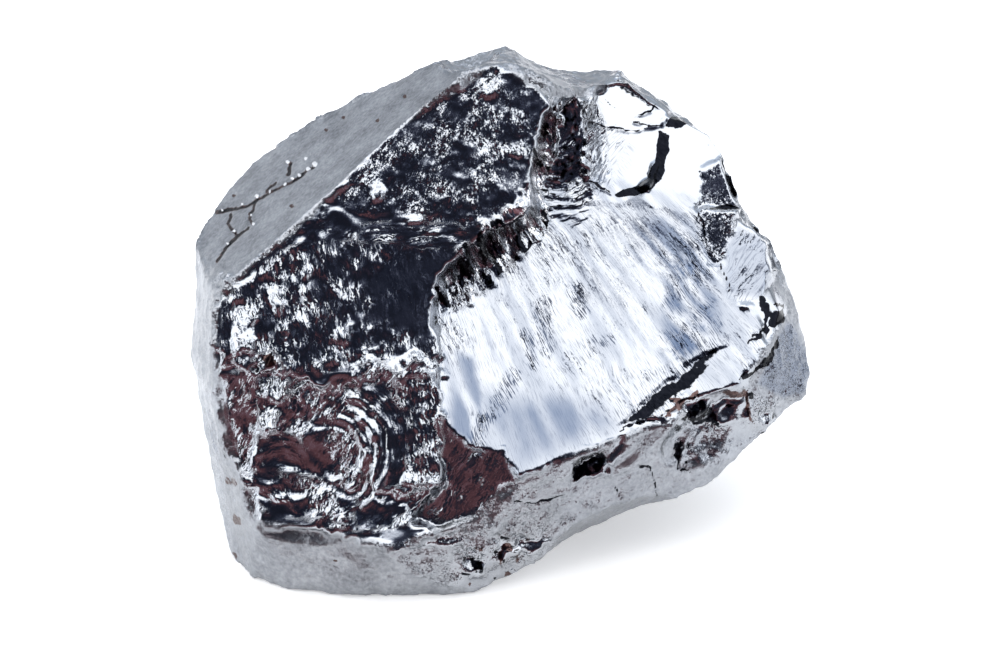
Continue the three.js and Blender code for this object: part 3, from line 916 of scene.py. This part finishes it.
# Brown under the lip is a painted reflection of the brown room.
lay_mark("brown_and_painted_reflection", 0.8, low_lip * ease(swell([x, y], 0.9, 29), 0.1, 0.3))
w -= 0.3 * seen * ease(half - gap, -0.3, 0.3)
teeth = [
    (18, -12.8), (21, -10), (23.5, -6.8), (26.5, -4), (30, -1.4), (33.4, -1.2), (32.7, -2.8), (28, -5.2),
    (23, -9.6),
]
# Dark lines among the last hackle lines are painted shade.
lay_mark("painted_line_shade", 3.0, patch(teeth, 0.9))
for line, half in [
    ([(1.9, -6.4), (0, -10), (-2.2, -13)], 1.2),
    ([(-3.2, -13), (-3.3, -17)], 1.3),
    ([(6.6, 4), (6.2, 1), (7.2, -2)], 1.4),
    ([(11.2, 6.5), (11.8, 3.4)], 1.2),
    ([(4, -0.5), (4.8, -5)], 0.9),
    ([(14, -1), (16, -1.4)], 0.8),
]:
    gap, _, _ = trace(line)
    stroke = seen * (1 - ease(gap, 0.3 * half, 1.5 * half))
    # Deep hackle lines painted as dark lines of shade.
    lay_mark("painted_line_shade", 7.0, stroke)
    marks["hackle"] += 0.45 * stroke
for line, half in [
    ([(36.2, -2.2), (38, -0.8), (39.5, 0.8), (41.5, 3.5)], 1.1),
    ([(34, -7.4), (36.5, -6.3), (38, -4.7), (39.5, -2.5), (40.7, -0.5)], 0.65),
    ([(17.5, -14.7), (22, -13.3), (24, -12.5)], 0.25),
]:
    gap, _, way = trace(line, ragged=0.3)
    half = half * (0.7 + 0.6 * swell([wavy, fan_down / 2], 0.6, 18)) * ease(np.minimum(way, 1 - way), 0, 0.25)
    rolled = seen * (1 - ease(gap, 0.5 * half, 1.2 * half + 0.02))
    # Rolled edges painted dark, as shade.
    lay_mark("painted_shade_and_reflection", 0.95, rolled)
    w -= 0.15 * rolled
long_streaks = swell([wavy, fan_down / 9], 0.9, 80) + 0.6 * swell([wavy, fan_down / 7], 2.4, 81)
long_streaks = ease(long_streaks, -0.1, 0.7)
right_shore = [(17, 16), (26, 18), (31, 13), (33, 4), (33, -1), (26, -5), (21, -3), (20, 6)]
# Blue-grey along the streaks and shores of the scoop is painted shade.
lay_mark("blue_and_painted_shade", 0.75, patch(right_shore, 2.5) * long_streaks)
lay_mark("blue_and_painted_shade", 0.35, scoop * long_streaks)
scoop_foot = [
    (-3, -9), (1, -9.5), (8, -9), (15, -10.5), (17, -13.5), (10, -17.5), (3, -20.4), (0, -17), (-3, -14),
]
painted_foot_shade = patch(scoop_foot, 3.0)
# The foot of the scoop is painted blue-grey, as shade.
lay_mark("blue_and_painted_shade", 0.85, painted_foot_shade * (0.75 + 0.25 * swell([wavy, fan_down / 6], 1.2, 30)))
left_shore = [(-8.5, -2), (-4, -4), (-2.5, -9), (-3.5, -16.5), (-7, -14.5), (-8.3, -8)]
lay_mark("blue_and_painted_shade", 0.8, patch(left_shore, 0.8) * ease(swell([wavy, fan_down / 8], 1.3, 19), -0.3, 0.4))
for outline in [
    [(25, 9.5), (27.5, 11), (30, 7.5), (28, 5.5)],
    [(23.5, 5.5), (26.5, 7), (28, 3), (25, 2.5)],
    [(27, 3.5), (31, 5), (32.5, 1), (29, -1)],
    [(24, 0), (27, 1), (30, -2.5), (26, -4)],
]:
    shaded = patch(outline, 1.4, ragged=0.4)
    # These patches are painted with dark lines and blue-grey, as shade.
    lay_mark("painted_line_shade", 5.0, shaded)
    marks["hackle"] += 0.25 * shaded
    lay_mark("blue_and_painted_shade", 0.95, shaded * ease(swell([wavy, fan_down / 6], 0.6, 20), -0.3, 0.4))

# ---- The chipped end ----
# A small bluish break at the right end of the lump, older than the face and chipped along its border. A brown
# patch in the angle beside it is a painted reflection of the brown room.

end_outline = [
    (37.5, -7.6), (38.5, -5), (40.8, 0), (42.5, 2), (43.5, 0), (45, -3), (45.2, -6), (44.7, -8.5), (43, -9),
    (41.5, -9.5),
]
end_face = patch(end_outline, 0.5)
marks["matte"] += end_face * (0.35 - marks["matte"])
lay_mark("blue_and_painted_shade", 0.75, end_face)
painted_brown_reflection = [(32, -9), (33.5, -8.6), (36, -8.5), (36.7, -13.5), (36, -13), (35.4, -9.4), (33.4, -9.6)]
lay_mark("brown_and_painted_reflection", 0.7, patch(painted_brown_reflection, 0.25))

# ---- The finished surface ----
# Every break is in w by now, and every small rise and dent in lift. They move the points, the underside is
# set flat on the table, and what each point is like goes with the mesh.

points[:, 2] += (w - points[:, 2]) * seen
points += normals * lift[:, None]
for vert, point in zip(surface.verts, points):
    vert.co = point
surface.transform(face_to_room)
for vert in surface.verts:
    vert.co.z = max(vert.co.z, 0)
surface.to_mesh(lump_mesh)
surface.free()
lump_mesh.shade_smooth()
for name, values in marks.items():
    layer = lump_mesh.attributes.new(name, "FLOAT", "POINT")
    layer.data.foreach_set("value", values.astype(np.float32))

# ---- The finish ----
# Bare silicon: a dark blue-grey mirror where it broke fresh, dulled on the skin and the rims. The finest
# facets and hackle lines are too small for the mesh, so they are tilts of the surface here. Some shade, dark
# and brown reflections and highlights are painted into its colour by the marks.

metal = bpy.data.materials.new("silicon")
metal.use_nodes = True
nodes = metal.node_tree.nodes
links = metal.node_tree.links
shader = nodes["Principled BSDF"]
shader.inputs["Metallic"].default_value = 1.0


def plug(value, socket):
    """Feeds a socket from another socket, or sets it to a constant."""
    if isinstance(value, bpy.types.NodeSocket):
        links.new(value, socket)
    else:
        socket.default_value = value


def mark(name):
    """How much of a mark the surface has."""
    node = nodes.new("ShaderNodeAttribute")
    node.attribute_name = name
    return node.outputs["Fac"]


def sum_of(operation, a, b=0.0):
    """One sum on two numbers."""
    node = nodes.new("ShaderNodeMath")
    node.operation = operation
    plug(a, node.inputs[0])
    plug(b, node.inputs[1])
    return node.outputs[0]


def vector_of(operation, a, b=(0, 0, 0), scale=None):
    """One sum on two directions, or on a direction and a scale."""
    node = nodes.new("ShaderNodeVectorMath")
    node.operation = operation
    plug(a, node.inputs[0])
    plug(b, node.inputs[1])
    if scale is not None:
        plug(scale, node.inputs["Scale"])
    return node.outputs[0]


def between(low, high, by, start=0.0, end=1.0):
    """A number that goes from low to high as by goes from start to end."""
    node = nodes.new("ShaderNodeMapRange")
    node.inputs["From Min"].default_value = start
    node.inputs["From Max"].default_value = end
    node.inputs["To Min"].default_value = low
    node.inputs["To Max"].default_value = high
    links.new(by, node.inputs["Value"])
    return node.outputs["Result"]


def tint(below, above, by):
    """A colour that goes from the first to the second as by goes from 0 to 1."""
    node = nodes.new("ShaderNodeMix")
    node.data_type = "RGBA"
    plug(by, node.inputs[0])
    plug(below, node.inputs[6])
    plug(above, node.inputs[7])
    return node.outputs[2]


def cells(coords, scale, flat=False):
    """A random colour for each small cell."""
    node = nodes.new("ShaderNodeTexVoronoi")
    node.voronoi_dimensions = "2D" if flat else "3D"
    node.inputs["Scale"].default_value = scale
    plug(coords, node.inputs["Vector"])
    return node.outputs["Color"]


def grain(coords, scale, detail=3):
    """A soft cloudy pattern, as a number and as a colour."""
    node = nodes.new("ShaderNodeTexNoise")
    node.inputs["Scale"].default_value = scale
    node.inputs["Detail"].default_value = detail
    plug(coords, node.inputs["Vector"])
    return node.outputs["Fac"], node.outputs["Color"]


place = nodes.new("ShaderNodeTexCoord").outputs["Object"]
_, drift_colour = grain(place, 1400)
drifted = vector_of("ADD", place, vector_of("SCALE", drift_colour, scale=0.0006))
patchy, _ = grain(place, 330, 2)
liveliness = between(0.25, 1.45, patchy, 0.35, 0.65)


def random_tilt(coords, sizes, flat=False):
    """Small flat facets of each size in turn, each tipped its own way."""
    total = (0, 0, 0)
    for scale, amount in sizes:
        colours = cells(coords, scale, flat)
        tip = vector_of("SCALE", vector_of("SUBTRACT", colours, (0.5, 0.5, 0.5)), scale=amount)
        total = vector_of("ADD", total, tip)
    return total


fray, _ = grain(place, 1100, 3)


def crisp_mark(name):
    """A mark with a sharp frayed edge where it passes one half."""
    frayed = sum_of("MULTIPLY", sum_of("SUBTRACT", fray, 0.5), 0.9)
    return between(0.0, 1.0, sum_of("ADD", mark(name), frayed), 0.44, 0.56)


crush_tilt = random_tilt(drifted, [(1300, 0.25), (2600, 0.55), (5200, 0.85)])
across = mark("across")
along = mark("along")
flow = nodes.new("ShaderNodeCombineXYZ")
plug(across, flow.inputs["X"])
plug(along, flow.inputs["Y"])
bent = vector_of("ADD", flow.outputs[0], vector_of("SCALE", drift_colour, scale=0.9))
hackle_tilt = random_tilt(bent, [(1.1, 0.35), (2.6, 0.5), (7.0, 0.7)], flat=True)
shape = nodes.new("ShaderNodeNewGeometry").outputs["Normal"]
crush_bite = sum_of("MULTIPLY", mark("crush"), liveliness)
hackle_bite = sum_of("MULTIPLY", mark("hackle"), liveliness)
tilted = vector_of("ADD", shape, vector_of("SCALE", crush_tilt, scale=crush_bite))
tilted = vector_of("ADD", tilted, vector_of("SCALE", hackle_tilt, scale=hackle_bite))
tilted = vector_of("NORMALIZE", tilted)
fine_grain, _ = grain(place, 2500, 4)
sand = nodes.new("ShaderNodeBump")
sand.inputs["Distance"].default_value = 0.0002
plug(between(0.05, 0.7, mark("matte")), sand.inputs["Strength"])
plug(fine_grain, sand.inputs["Height"])
plug(tilted, sand.inputs["Normal"])
plug(sand.outputs[0], shader.inputs["Normal"])

broad, _ = grain(place, 120)
colour = tint((0.39, 0.415, 0.46, 1), (0.44, 0.455, 0.48, 1), broad)
stretched = nodes.new("ShaderNodeCombineXYZ")
plug(across, stretched.inputs["X"])
plug(sum_of("MULTIPLY", along, 0.5), stretched.inputs["Y"])
line_grain, _ = grain(stretched.outputs[0], 4.2, 4)
lines = between(0.0, 0.6, line_grain, 0.5, 0.68)
# Dark lines along the grain: painted shade in hackle lines.
colour = tint(colour, (0.06, 0.067, 0.088, 1), sum_of("MULTIPLY", lines, mark("painted_line_shade")))
# Blue-grey: the silicon's own tone in places, painted shade in the scoop.
colour = tint(colour, (0.07, 0.10, 0.165, 1), mark("blue_and_painted_shade"))
speckle, _ = grain(place, 1700, 3)
cloud, _ = grain(place, 260, 3)
mottle = between(-1.0, 2.0, sum_of("MULTIPLY", sum_of("ADD", speckle, cloud), 0.5))
dull = tint((0.17, 0.18, 0.2, 1), (0.4, 0.415, 0.445, 1), mottle)
colour = tint(colour, dull, mark("matte"))
# Brown: a painted reflection of the brown room on the broken faces, plain brown on the cast skin.
colour = tint(colour, tint((0.05, 0.03, 0.03, 1), (0.14, 0.095, 0.09, 1), speckle), crisp_mark("brown_and_painted_reflection"))
# Near black: painted shade in cracks and creases, and painted dark reflections.
black = tint((0.001, 0.0015, 0.003, 1), (0.021, 0.023, 0.032, 1), sum_of("MULTIPLY", line_grain, speckle))
colour = tint(colour, black, crisp_mark("painted_shade_and_reflection"))
# Near white: painted highlights.
colour = tint(colour, (0.8, 0.8, 0.82, 1), crisp_mark("painted_highlight"))
plug(colour, shader.inputs["Base Color"])
plug(between(0.15, 0.48, mark("matte")), shader.inputs["Roughness"])
lump_mesh.materials.clear()
lump_mesh.materials.append(metal)
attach(lump, "root")
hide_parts("silicon_chunk")
